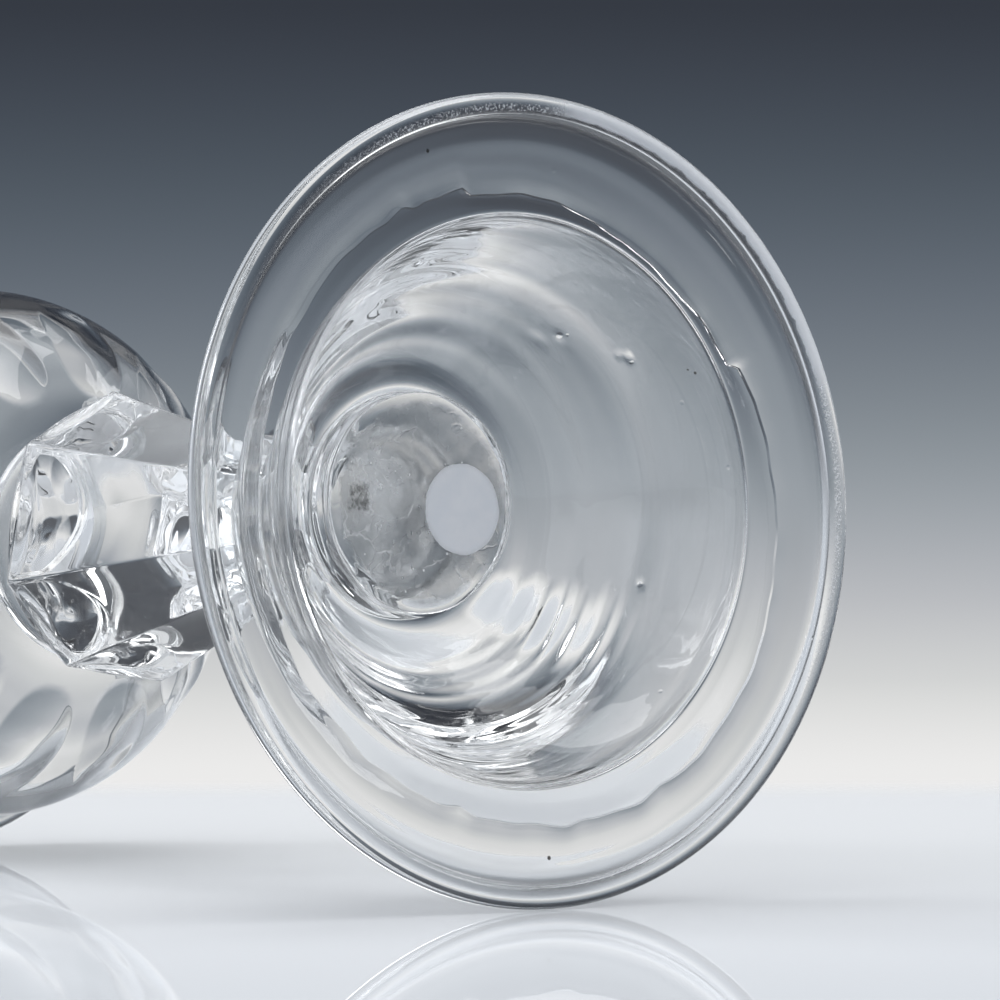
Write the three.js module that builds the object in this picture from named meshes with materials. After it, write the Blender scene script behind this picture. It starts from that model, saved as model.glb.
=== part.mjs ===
// Lead-glass sweetmeat glass: domed foot with a folded rim, eight-sided moulded
// pedestal stem, collar discs, petal-moulded bowl, pontil scar and a bare round label.
// Millimetres. +Z runs from the foot to the bowl, the resting ring is at z = 0 and the
// origin is its centre. Fused joints are kept apart by a hairline gap.
import * as THREE from 'three';

const GAP = 0.3; // between two fused pieces
const RAD = Math.PI / 180;

// foot
const FOOT_R = 55; // outside of the folded rim
const RIM_MID_Z = 2.1; // height of the rim's widest line
const FOLD_R = 43.0; // mean radius at which the turned-under band ends
const REST_R0 = 51.2; // flat ring that it stands on
const REST_R1 = 53.6;
const CREASE_R = 38.35; // where the flange turns up into the dome
const DOME_TOP_Z = 37.4;
const CEILING_Z = 30.2; // underside of the dome round the scar

// pontil scar
const SCAR_R = 15.7;
const SCAR_FACE_Z = 26.5;
const SCAR_ROOT_Z = CEILING_Z - GAP;
const SCAR_OFF = [0.8, -0.8]; // it sits slightly off the axis

// label on the scar
const LABEL_R = 6.4;
const LABEL_T = 0.3;
const LABEL_AT = [4.7, 4.5];

// lower collar, stem, upper collar
const COLLAR_Z0 = DOME_TOP_Z + GAP;
const COLLAR_Z1 = COLLAR_Z0 + 4.6;
const STEM_Z0 = COLLAR_Z1 + GAP;
const SHOULDER_Z = 101;
const SHOULDER_R = 22; // across the corners
const STEM_Z1 = 109.6;
const MERESE_Z0 = STEM_Z1 + GAP;
const MERESE_Z1 = MERESE_Z0 + 3.0;
const MERESE_R = 17.9;
const STEM_SIDES = 8;
const STEM_PHASE = 311 * RAD; // one corner

// bowl
const BOWL_Z0 = MERESE_Z1 + GAP;
const BOWL_Z1 = 165;
const BOWL_RIM_R = 45.6;
const PETALS = 12;
const PETAL_PHASE = 117 * RAD; // middle of one petal

const TAU = Math.PI * 2;
const clamp = (v, a, b) => Math.min(b, Math.max(a, v));
const smooth = (a, b, v) => {
  const t = clamp((v - a) / (b - a), 0, 1);
  return t * t * (3 - 2 * t);
};

// Closed skin through a stack of rings. A ring is [r, z, m]; a ring of radius 0 is a
// pole. law(angle, ring) gives the radius and the height at one angle.
function turned(rings, n, law = (a, [r, z]) => [r, z]) {
  const pos = [];
  const rows = rings.map((ring) => {
    const row = [];
    if (ring[0] === 0) {
      row.push(pos.length / 3);
      pos.push(0, 0, ring[1]);
    } else {
      for (let j = 0; j < n; j++) {
        const a = (j / n) * TAU;
        const [r, z] = law(a, ring);
        row.push(pos.length / 3);
        pos.push(r * Math.cos(a), r * Math.sin(a), z);
      }
    }
    return row;
  });
  const idx = [];
  for (let i = 0; i + 1 < rows.length; i++) {
    const p = rows[i];
    const q = rows[i + 1];
    for (let j = 0; j < n; j++) {
      const k = (j + 1) % n;
      if (p.length > 1) idx.push(p[j], p[k], q.length > 1 ? q[k] : q[0]);
      if (q.length > 1) idx.push(p.length > 1 ? p[j] : p[0], q[k], q[j]);
    }
  }
  const g = new THREE.BufferGeometry();
  g.setAttribute('position', new THREE.Float32BufferAttribute(pos, 3));
  g.setIndex(idx);
  g.computeVertexNormals();
  return g;
}

function named(name, geometry, colour, roughness, metalness) {
  const mesh = new THREE.Mesh(
    geometry,
    new THREE.MeshStandardMaterial({ color: new THREE.Color(...colour), roughness, metalness }),
  );
  mesh.name = name;
  return mesh;
}

// ---- foot: dome, flange and the rim folded back underneath --------------------------
// [angle in degrees, radius] of the band's ragged inner edge
const FOLD_EDGE = [
  [0, 39.1], [13, 39.8], [22, 41.8], [34, 42.3], [50, 43.1], [64, 43.5], [76, 44.3], [99, 44.6],
  [107, 44.0], [112, 44.6], [125, 43.8], [145, 43.4], [160, 43.5], [183, 43.9], [195, 44.8], [220, 44.4],
  [248, 43.5], [274, 43.3], [289, 43.3], [302, 42.7], [309, 41.3], [324, 40.9], [340, 39.5], [360, 39.1],
];
const foldEdge = (a) => {
  const d = a / RAD;
  const k = FOLD_EDGE.findIndex(([x]) => x > d);
  const [x0, r0] = FOLD_EDGE[k - 1];
  const [x1, r1] = FOLD_EDGE[k];
  return r0 + ((r1 - r0) * (d - x0)) / (x1 - x0);
};
const footRings = [
  [0, CEILING_Z],
  [9, CEILING_Z],
  [15.6, CEILING_Z - 0.05],
  [18.2, CEILING_Z - 0.5],
  [20.9, 27.4],
  [24.15, 24.1],
  [27.35, 20.6],
  [30.45, 17.0],
  [33.4, 13.2],
  [36.0, 9.2],
  [37.6, 5.5],
  [CREASE_R, 2.45],
  [FOLD_R - 0.2, 2.1, 1],
  [FOLD_R, 1.75, 1],
  [46.6, 1.2],
  [49.4, 0.7],
  [REST_R0, 0],
  [REST_R1, 0],
  [54.6, 0.8],
  [FOOT_R, RIM_MID_Z],
  [54.4, 3.1],
  [53.0, 3.4],
  [51.0, 3.15],
  [48, 3.1],
  [44, 3.5],
  [40.2, 3.7],
  [39.1, 4.6],
  [38.2, 8.0],
  [36.9, 11.6],
  [34.9, 15.9],
  [32.9, 20.2],
  [30.6, 24.2],
  [28.0, 28.2],
  [24.3, 32.4],
  [19.2, 35.7],
  [14.4, 36.9],
  [10.8, DOME_TOP_Z],
  [0, DOME_TOP_Z],
];
const foot = turned(footRings, 80, (a, [r, z, m = 0]) => [r + m * (foldEdge(a) - FOLD_R), z]);

// ---- pontil scar: a broken lump with an uneven edge ---------------------------------
const scarRings = [
  [0, SCAR_FACE_Z + 0.5],
  [5, SCAR_FACE_Z + 0.35],
  [10, SCAR_FACE_Z + 0.1],
  [14.4, SCAR_FACE_Z, 1],
  [SCAR_R, SCAR_FACE_Z + 0.9, 1],
  [SCAR_R - 0.1, SCAR_FACE_Z + 2.2, 0.6],
  [SCAR_R - 1.0, SCAR_ROOT_Z - 0.1, 0.3],
  [SCAR_R - 1.2, SCAR_ROOT_Z, 0.3],
  [0, SCAR_ROOT_Z],
];
const scar = turned(scarRings, 48, (a, [r, z, m = 0]) => [
  r + m * (0.35 * Math.sin(2 * a + 1) + 0.28 * Math.sin(5 * a + 0.3) + 0.16 * Math.sin(11 * a)),
  z,
]);
scar.translate(SCAR_OFF[0], SCAR_OFF[1], 0);

// ---- label: a plain paper disc stuck on the scar ------------------------------------
const labelTop = SCAR_FACE_Z - GAP;
const label = turned(
  [
    [0, labelTop - LABEL_T],
    [LABEL_R - 0.05, labelTop - LABEL_T],
    [LABEL_R, labelTop - LABEL_T + 0.05],
    [LABEL_R, labelTop],
    [0, labelTop],
  ],
  48,
);
label.translate(LABEL_AT[0], LABEL_AT[1], 0);

// ---- lower collar: the rounded disc between foot and stem ---------------------------
const collarRings = [[0, COLLAR_Z0], [9.6, COLLAR_Z0], [11.4, COLLAR_Z0 + 0.5]];
for (let i = 1; i < 6; i++) {
  const t = (i / 6) * Math.PI;
  collarRings.push([11.4 + 1.5 * Math.sin(t), COLLAR_Z0 + 2.3 - 1.8 * Math.cos(t)]);
}
collarRings.push([11.4, COLLAR_Z1 - 0.5], [9.8, COLLAR_Z1], [0, COLLAR_Z1]);
const collar = turned(collarRings, 56);

// ---- stem: eight flat panels that widen to a high shoulder --------------------------
// m blends from a round section (0) to a full polygon (1); s is how far the panel's
// rounded end is cut into the shoulder.
const stemRings = [
  [0, STEM_Z0, 0, 0],
  [9.2, STEM_Z0, 0.1, 0],
  [9.6, STEM_Z0 + 0.5, 0.3, 0],
  [9.3, 48, 0.8, 0],
  [9.8, 54, 1, 0],
  [11.0, 61, 1, 0],
  [12.7, 68, 1, 0],
  [14.5, 75, 1, 0],
  [16.2, 81, 1, 0.15],
  [17.7, 86, 1, 0.5],
  [19.2, 90, 1, 1.0],
  [20.5, 94, 1, 0.9],
  [21.5, 97.5, 1, 0.45],
  [SHOULDER_R, SHOULDER_Z - 1, 1, 0.1],
  [SHOULDER_R, SHOULDER_Z, 1, 0],
  [21.3, 102.6, 1, 0],
  [19.8, 104.4, 0.9, 0],
  [17.4, 106.2, 0.75, 0],
  [14.8, 107.8, 0.5, 0],
  [13.2, 109, 0.25, 0],
  [12.6, STEM_Z1, 0, 0],
  [0, STEM_Z1, 0, 0],
];
const half = Math.PI / STEM_SIDES;
const stem = turned(stemRings, 64, (a, [r, z, m, s]) => {
  let d = (((a - STEM_PHASE) % (2 * half)) + 2 * half) % (2 * half); // 0 at a corner
  const off = d - half; // 0 in the middle of a panel
  const flat = Math.cos(half) / Math.cos(off);
  const scoop = 1.1 * s * Math.cos((off / half) * (Math.PI / 2));
  return [r * (1 - m + m * flat) - scoop, z];
});

// ---- upper collar: the flat disc under the bowl -------------------------------------
const merese = turned(
  [
    [0, MERESE_Z0],
    [13.4, MERESE_Z0],
    [16.0, MERESE_Z0 + 0.35],
    [17.4, MERESE_Z0 + 0.85],
    [MERESE_R, MERESE_Z0 + 1.5],
    [17.4, MERESE_Z0 + 2.15],
    [16.0, MERESE_Z0 + 2.65],
    [13.4, MERESE_Z1],
    [0, MERESE_Z1],
  ],
  64,
);

// ---- bowl: rounded cup with petals pressed in from below ----------------------------
// m is the depth of the hollow between two ribs.
const bowlRings = [
  [0, BOWL_Z0, 0],
  [12.0, BOWL_Z0, 0],
  [17.0, BOWL_Z0 + 0.35, 0.1],
  [21.6, BOWL_Z0 + 1.5, 0.7],
  [26.6, BOWL_Z0 + 4.2, 1.1],
  [31.0, BOWL_Z0 + 8.0, 1.3],
  [34.9, BOWL_Z0 + 12.8, 1.2],
  [38.0, BOWL_Z0 + 18.4, 1.0],
  [40.1, BOWL_Z0 + 24.6, 0.7],
  [41.0, BOWL_Z0 + 31.0, 0.4],
  [41.2, BOWL_Z0 + 37.2, 0.2],
  [42.0, BOWL_Z0 + 42.8, 0.1],
  [43.7, BOWL_Z0 + 47.6, 0],
  [BOWL_RIM_R - 0.2, BOWL_Z1 - 1.4, 0],
  [BOWL_RIM_R - 0.1, BOWL_Z1 - 0.4, 0],
  [BOWL_RIM_R - 0.8, BOWL_Z1, 0],
  [BOWL_RIM_R - 2.2, BOWL_Z1, 0],
  [BOWL_RIM_R - 2.9, BOWL_Z1 - 0.6, 0],
  [41.0, BOWL_Z1 - 4.2, 0],
  [39.2, BOWL_Z1 - 9.0, 0],
  [38.2, BOWL_Z1 - 14.6, 0],
  [37.6, BOWL_Z1 - 21.0, 0.1],
  [36.2, BOWL_Z1 - 27.2, 0.3],
  [33.6, BOWL_Z1 - 33.0, 0.4],
  [29.6, BOWL_Z1 - 38.2, 0.4],
  [24.0, BOWL_Z1 - 42.4, 0.3],
  [16.6, BOWL_Z1 - 45.2, 0.1],
  [8.6, BOWL_Z1 - 46.4, 0],
  [0, BOWL_Z1 - 46.8, 0],
];
const bowl = turned(bowlRings, 96, (a, [r, z, m]) => {
  const c = 0.5 + 0.5 * Math.cos(PETALS * (a - PETAL_PHASE)); // 1 in the middle of a petal
  return [r - m * smooth(0, 1, c), z];
});

const GLASS = [0.82, 0.86, 0.86];
const group = new THREE.Group();
group.name = 'sweetmeat_glass';
group.add(named('foot', foot, GLASS, 0.06, 0));
group.add(named('pontil_scar', scar, [0.74, 0.79, 0.8], 0.28, 0));
group.add(named('label', label, [0.86, 0.88, 0.9], 0.85, 0));
group.add(named('stem_collar', collar, GLASS, 0.06, 0));
group.add(named('stem', stem, GLASS, 0.06, 0));
group.add(named('bowl_collar', merese, GLASS, 0.06, 0));
group.add(named('bowl', bowl, GLASS, 0.06, 0));

export default group;
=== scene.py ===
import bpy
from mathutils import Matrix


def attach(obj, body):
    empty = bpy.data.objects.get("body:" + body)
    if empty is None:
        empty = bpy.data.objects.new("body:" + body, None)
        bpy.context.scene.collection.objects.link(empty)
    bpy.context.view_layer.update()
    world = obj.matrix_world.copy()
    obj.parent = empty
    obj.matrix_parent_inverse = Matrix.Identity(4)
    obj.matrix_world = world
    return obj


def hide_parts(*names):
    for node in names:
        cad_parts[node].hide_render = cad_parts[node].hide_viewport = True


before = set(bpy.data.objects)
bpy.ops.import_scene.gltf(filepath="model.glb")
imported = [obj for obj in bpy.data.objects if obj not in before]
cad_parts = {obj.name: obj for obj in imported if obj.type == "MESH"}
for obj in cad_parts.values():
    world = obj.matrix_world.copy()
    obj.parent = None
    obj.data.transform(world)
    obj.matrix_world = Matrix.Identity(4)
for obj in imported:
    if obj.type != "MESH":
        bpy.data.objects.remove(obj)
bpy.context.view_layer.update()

import math

import bpy
import numpy as np
from mathutils import Matrix, Vector

TAU = 2 * math.pi

# ------------------------------------------------------------------------------------
# Where the photograph was taken from, in the row frame. The glass stands upright in the
# row frame and lies on its side in the photograph, so "up" there is not +Z here.
# ------------------------------------------------------------------------------------
YAW, DIP = math.radians(36.8), math.radians(3.3)
FOOT_AT = np.array([3.86, 0.0, -761.0])  # rim centre from the camera: right, up, back (mm)
AX = np.array([-math.sin(YAW) * math.cos(DIP), -math.sin(DIP), -math.cos(YAW) * math.cos(DIP)])
DOWN = np.array([0.0, -1.0, 0.0]) + math.sin(DIP) * -AX
DOWN = DOWN / np.linalg.norm(DOWN)
SIDE = np.cross(AX, DOWN)
TO_ROW = np.array([(-DOWN - SIDE) / math.sqrt(2), (DOWN - SIDE) / math.sqrt(2), AX])


def at(p):
    """A point given in the camera's own right, up, back (mm) as row-frame metres."""
    v = TO_ROW @ (np.array(p, float) - FOOT_AT)
    return Vector((v[0], v[1], v[2] + 2.0)) / 1000


def way(p):
    """A direction given in right, up, back as a row-frame direction."""
    return Vector(TO_ROW @ np.array(p, float))


RIGHT, UP, BACK = way((1, 0, 0)), way((0, 1, 0)), way((0, 0, 1))
TABLE_Y = -54.9  # height of the table under the camera's axis, mm

# ------------------------------------------------------------------------------------
# Small tools
# ------------------------------------------------------------------------------------


def step(a, b, x):
    t = np.clip((x - a) / (b - a), 0, 1)
    return t * t * (3 - 2 * t)


def line(points, gap):
    """Points along a smooth (r, z) line. A point with a third entry is a sharp corner."""
    runs = [[]]
    for p in points:
        runs[-1].append(p[:2])
        if len(p) > 2:
            runs.append([p[:2]])
    out = []
    for n, run in enumerate(runs):
        if len(run) < 2:
            continue
        q = np.array(run, float)
        d = np.linalg.norm(np.diff(q, axis=0), axis=1)
        t = np.r_[0, np.cumsum(d)]
        s = np.diff(q, axis=0) / d[:, None]
        m = np.vstack([s[:1], s[-1:]])
        if len(q) > 2:
            mid = (s[:-1] * d[1:, None] + s[1:] * d[:-1, None]) / (d[:-1] + d[1:])[:, None]
            m = np.vstack([s[:1], mid, s[-1:]])
        u = np.linspace(0, t[-1], max(2, int(round(t[-1] / gap))) + 1)
        near = [0.07, 0.2]
        if n > 0:
            u = np.r_[u, near]
        if n < len(runs) - 1:
            u = np.r_[u, t[-1] - np.array(near)]
        u = np.unique(np.clip(u, 0, t[-1]))
        k = np.clip(np.searchsorted(t, u, side="right") - 1, 0, len(d) - 1)
        x = ((u - t[k]) / d[k])[:, None]
        h = d[k][:, None]
        p = (
            (2 * x**3 - 3 * x**2 + 1) * q[k]
            + (x**3 - 2 * x**2 + x) * h * m[k]
            + (-2 * x**3 + 3 * x**2) * q[k + 1]
            + (x**3 - x**2) * h * m[k + 1]
        )
        out.append(p if not out else p[1:])
    return np.vstack(out)


def fillet(p, corner, q, n=4):
    """Points of a rounded corner from p to q, without p and q."""
    t = (np.arange(n) + 1.0)[:, None] / (n + 1)
    p, corner, q = (np.array(v, float) for v in (p, corner, q))
    return (1 - t) ** 2 * p + 2 * t * (1 - t) * corner + t * t * q


def along(p):
    return np.r_[0, np.cumsum(np.linalg.norm(np.diff(p, axis=0), axis=1))]


def outward(p):
    """Unit normals of an (r, z) line, to the right of its run."""
    t = np.gradient(p, axis=0)
    t /= np.linalg.norm(t, axis=1)[:, None] + 1e-12
    return np.c_[t[:, 1], -t[:, 0]]


def waves(s, th, seed, lengths, heights, turns=1):
    """Shallow tool marks that run round the glass: a sum of drifting waves, in mm."""
    g = np.random.default_rng(seed)
    d = np.zeros(np.broadcast(s, th).shape)
    for length, height in zip(lengths, heights):
        k = g.integers(-turns, turns + 1)
        a, b, c, e = g.uniform(0, TAU, 4)
        swell = 0.62 + 0.38 * np.sin(th * g.integers(1, 4) + b + 0.07 * s)
        drift = 0.7 * np.sin(th * g.integers(1, 3) + c) + 0.3 * np.sin(th * g.integers(3, 6) + e)
        d += height * swell * np.sin(TAU * s / length + a + k * th + drift)
    return d


def mesh_of(name, verts, faces, kinds=None, smooth=True):
    me = bpy.data.meshes.new(name)
    verts = np.asarray(verts, np.float64) * 0.001
    quads = np.asarray(faces)
    me.vertices.add(len(verts))
    me.vertices.foreach_set("co", verts.astype(np.float32).ravel())
    sizes = np.array([len(f) for f in faces], np.int32) if quads.dtype == object else None
    if sizes is None:
        sizes = np.full(len(quads), quads.shape[1], np.int32)
        flat = quads.astype(np.int32).ravel()
    else:
        flat = np.concatenate([np.asarray(f, np.int32) for f in faces])
    me.loops.add(len(flat))
    me.loops.foreach_set("vertex_index", flat)
    me.polygons.add(len(sizes))
    me.polygons.foreach_set("loop_start", np.r_[0, np.cumsum(sizes)[:-1]].astype(np.int32))
    me.polygons.foreach_set("loop_total", sizes)
    if kinds is not None:
        me.polygons.foreach_set("material_index", np.asarray(kinds, np.int32))
    me.polygons.foreach_set("use_smooth", np.full(len(sizes), smooth))
    me.update(calc_edges=True)
    me.validate()
    o = bpy.data.objects.new(name, me)
    bpy.context.scene.collection.objects.link(o)
    return o


def skin(name, rings, kinds=None, pole_a=None, pole_b=None):
    """A closed skin through rings of points (m, n, 3). kinds gives the material of the
    band that follows each ring; a pole closes either end and belongs to that end."""
    m, n, _ = rings.shape
    verts = rings.reshape(-1, 3)
    i, j = np.meshgrid(np.arange(m - 1), np.arange(n), indexing="ij")
    k = (j + 1) % n
    quads = np.stack([i * n + j, i * n + k, (i + 1) * n + k, (i + 1) * n + j], -1).reshape(-1, 4)
    band = np.zeros(m - 1, int) if kinds is None else np.asarray(kinds[: m - 1])
    mats = np.repeat(band, n)
    faces, looks = [quads], [mats]
    tri = []
    j = np.arange(n)
    k = (j + 1) % n
    extra = []
    if pole_a is not None:
        p = len(verts) + len(extra)
        extra.append(pole_a[:3])
        tri.append((np.stack([np.full(n, p), k, j], -1), pole_a[3]))
    if pole_b is not None:
        p = len(verts) + len(extra)
        extra.append(pole_b[:3])
        base = (m - 1) * n
        tri.append((np.stack([base + j, base + k, np.full(n, p)], -1), pole_b[3]))
    if extra:
        verts = np.vstack([verts, np.array(extra, float)])
    if not tri:
        return mesh_of(name, verts, quads, mats)
    allf = np.empty(len(quads) + sum(len(t) for t, _ in tri), object)
    allf[: len(quads)] = [tuple(q) for q in quads]
    at_ = len(quads)
    out = [mats]
    for t, kind in tri:
        allf[at_ : at_ + len(t)] = [tuple(q) for q in t]
        at_ += len(t)
        out.append(np.full(len(t), kind))
    return mesh_of(name, verts, allf, np.concatenate(out))


def ringed(r, z, th):
    """(m, n) radii and heights, and n angles, as (m, n, 3) points."""
    return np.stack([r * np.cos(th), r * np.sin(th), np.broadcast_to(z, r.shape)], -1)


# ------------------------------------------------------------------------------------
# Materials
# ------------------------------------------------------------------------------------


class Nodes:
    def __init__(self, material):
        material.use_nodes = True
        self.tree = material.node_tree
        self.tree.nodes.clear()

    def add(self, kind, **values):
        n = self.tree.nodes.new(kind)
        for k, v in values.items():
            if hasattr(n, k):
                setattr(n, k, v)
            else:
                n.inputs[k.replace("_", " ")].default_value = v
        return n

    def join(self, a, b):
        self.tree.links.new(a, b)

    def math(self, op, a, b=None, c=None, clamp=False):
        n = self.tree.nodes.new("ShaderNodeMath")
        n.operation, n.use_clamp = op, clamp
        for i, v in enumerate((a, b, c)):
            if v is None:
                continue
            if isinstance(v, (int, float)):
                n.inputs[i].default_value = v
            else:
                self.join(v, n.inputs[i])
        return n.outputs[0]

    def noise(self, where, scale, detail=2.0, rough=0.5, distortion=0.0):
        n = self.tree.nodes.new("ShaderNodeTexNoise")
        n.inputs["Scale"].default_value = scale
        n.inputs["Detail"].default_value = detail
        n.inputs["Roughness"].default_value = rough
        n.inputs["Distortion"].default_value = distortion
        self.join(where, n.inputs["Vector"])
        return n.outputs[0]

    def span(self, v, a, b, c=0.0, d=1.0, smooth=True):
        n = self.tree.nodes.new("ShaderNodeMapRange")
        n.interpolation_type = "SMOOTHSTEP" if smooth else "LINEAR"
        self.join(v, n.inputs["Value"])
        for key, x in zip(("From Min", "From Max", "To Min", "To Max"), (a, b, c, d)):
            n.inputs[key].default_value = x
        return n.outputs[0]


def polar(g):
    """Object position, its distance from the axis and its height, in metres."""
    place = g.add("ShaderNodeTexCoord").outputs["Object"]
    split = g.add("ShaderNodeSeparateXYZ")
    g.join(place, split.inputs[0])
    x, y, z = split.outputs
    r = g.math("SQRT", g.math("ADD", g.math("MULTIPLY", x, x), g.math("MULTIPLY", y, y)))
    return place, r, x, y, z


IOR = 1.56


def joint_material():
    """Where two gathers are fused there is no surface, so light goes straight on."""
    m = bpy.data.materials.new("fused_joint")
    g = Nodes(m)
    t = g.add("ShaderNodeBsdfTransparent")
    out = g.add("ShaderNodeOutputMaterial")
    g.join(t.outputs[0], out.inputs["Surface"])
    return m


def glass_material(name, seed, wear=0.0, specks=(), blisters=(), grey=1.0):
    """Soft grey lead glass: clear, with seeds and cords in it as bump, faint handling
    marks, and where wear is set a frosted ring on the face that it stands on."""
    m = bpy.data.materials.new(name)
    g = Nodes(m)
    place, r, x, y, z = polar(g)
    b = g.add("ShaderNodeBsdfPrincipled")
    out = g.add("ShaderNodeOutputMaterial")
    b.inputs["Transmission Weight"].default_value = 1.0
    b.inputs["IOR"].default_value = IOR
    b.inputs["Metallic"].default_value = 0.0

    # tint: a very faint grey that drifts
    drift = g.noise(place, 18.0 + seed, 2.0)
    tint = g.add("ShaderNodeMix", data_type="RGBA")
    g.join(drift, tint.inputs["Factor"])
    tint.inputs["A"].default_value = (0.925 * grey, 0.935 * grey, 0.94 * grey, 1)
    tint.inputs["B"].default_value = (0.95 * grey, 0.958 * grey, 0.96 * grey, 1)
    colour = tint.outputs["Result"]
    for px, py, pz, size in specks:
        d = g.add("ShaderNodeVectorMath", operation="DISTANCE")
        g.join(place, d.inputs[0])
        d.inputs[1].default_value = (px / 1000, py / 1000, pz / 1000)
        dark = g.span(d.outputs["Value"], size / 1000 * 0.6, size / 1000, 1.0, 0.0)
        mix = g.add("ShaderNodeMix", data_type="RGBA")
        g.join(dark, mix.inputs["Factor"])
        g.join(colour, mix.inputs["A"])
        mix.inputs["B"].default_value = (0.012, 0.01, 0.009, 1)
        colour = mix.outputs["Result"]
    g.join(colour, b.inputs["Base Color"])

    # handling marks: faint smears
    smear = g.span(g.noise(place, 60.0 + seed, 3.0, 0.6, 0.6), 0.62, 0.8, 0.0, 0.035)
    rough = smear
    seeds = g.tree.nodes.new("ShaderNodeTexVoronoi")
    seeds.feature = "F1"
    seeds.inputs["Scale"].default_value = 330.0
    g.join(place, seeds.inputs["Vector"])
    pick = g.tree.nodes.new("ShaderNodeSeparateColor")
    g.join(seeds.outputs["Color"], pick.inputs[0])
    rare = g.math("GREATER_THAN", pick.outputs[0], 0.955)
    dot = g.math("MULTIPLY", g.span(seeds.outputs["Distance"], 0.05, 0.12, 1.0, 0.0), rare)
    cords = g.noise(place, 35.0, 2.0, 0.5, 1.5)
    height = g.math("ADD", g.math("MULTIPLY", dot, 0.9), g.math("MULTIPLY", cords, 0.25))
    for px, py, pz, size, high in blisters:
        d = g.add("ShaderNodeVectorMath", operation="DISTANCE")
        g.join(place, d.inputs[0])
        d.inputs[1].default_value = (px / 1000, py / 1000, pz / 1000)
        height = g.math("ADD", height, g.span(d.outputs["Value"], size / 1000 * 0.15, size / 1000, high, 0.0))
    ground = None
    if wear:
        # scratches and grit marks on the ring that it stands on, deepest on one side
        low = g.span(z, 0.00012, 0.0006, 1.0, 0.0)
        ragged = g.math("MULTIPLY", g.math("SUBTRACT", g.noise(place, 420.0, 4.0, 0.7), 0.5), 0.0012)
        rr = g.math("ADD", r, ragged)
        band = g.math(
            "MULTIPLY", g.span(rr, 0.0521, 0.0525, 0.0, 1.0), g.span(rr, 0.0541, 0.0545, 1.0, 0.0)
        )
        toward = g.math("DIVIDE", g.math("ADD", g.math("MULTIPLY", x, 0.996), g.math("MULTIPLY", y, -0.087)), r)
        solid = g.span(toward, 0.79, 0.89)
        some = g.math("MULTIPLY", g.span(toward, -0.15, 0.7), g.span(g.noise(place, 2500.0, 4.0, 0.8), 0.5, 0.6))
        inner = g.span(rr, 0.0530, 0.0537, 1.0, 0.0)
        some = g.math("MULTIPLY", some, inner)
        few = g.math("MULTIPLY", g.span(g.noise(place, 2300.0, 3.0, 0.8), 0.58, 0.7), g.math("MULTIPLY", inner, 0.35))
        worn = g.math("MAXIMUM", g.math("MAXIMUM", solid, some), few)
        worn = g.math("MULTIPLY", g.math("MULTIPLY", band, low), worn)
        rough = g.math("ADD", smear, g.math("MULTIPLY", worn, wear), clamp=True)
        pits = g.noise(place, 2200.0, 3.0, 0.8)
        height = g.math("ADD", height, g.math("MULTIPLY", g.math("MULTIPLY", pits, worn), 1.4))
        ground = g.math("MULTIPLY", worn, 0.62)
    g.join(rough, b.inputs["Roughness"])
    bump = g.add("ShaderNodeBump")
    bump.inputs["Strength"].default_value = 0.35
    bump.inputs["Distance"].default_value = 0.00006
    g.join(height, bump.inputs["Height"])
    g.join(bump.outputs[0], b.inputs["Normal"])
    if ground is None:
        g.join(b.outputs[0], out.inputs["Surface"])
        return m
    white = g.add("ShaderNodeBsdfDiffuse")
    white.inputs["Color"].default_value = (0.8, 0.83, 0.88, 1)
    frost = g.add("ShaderNodeMixShader")
    g.join(ground, frost.inputs[0])
    g.join(b.outputs[0], frost.inputs[1])
    g.join(white.outputs[0], frost.inputs[2])
    g.join(frost.outputs[0], out.inputs["Surface"])
    return m


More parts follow.
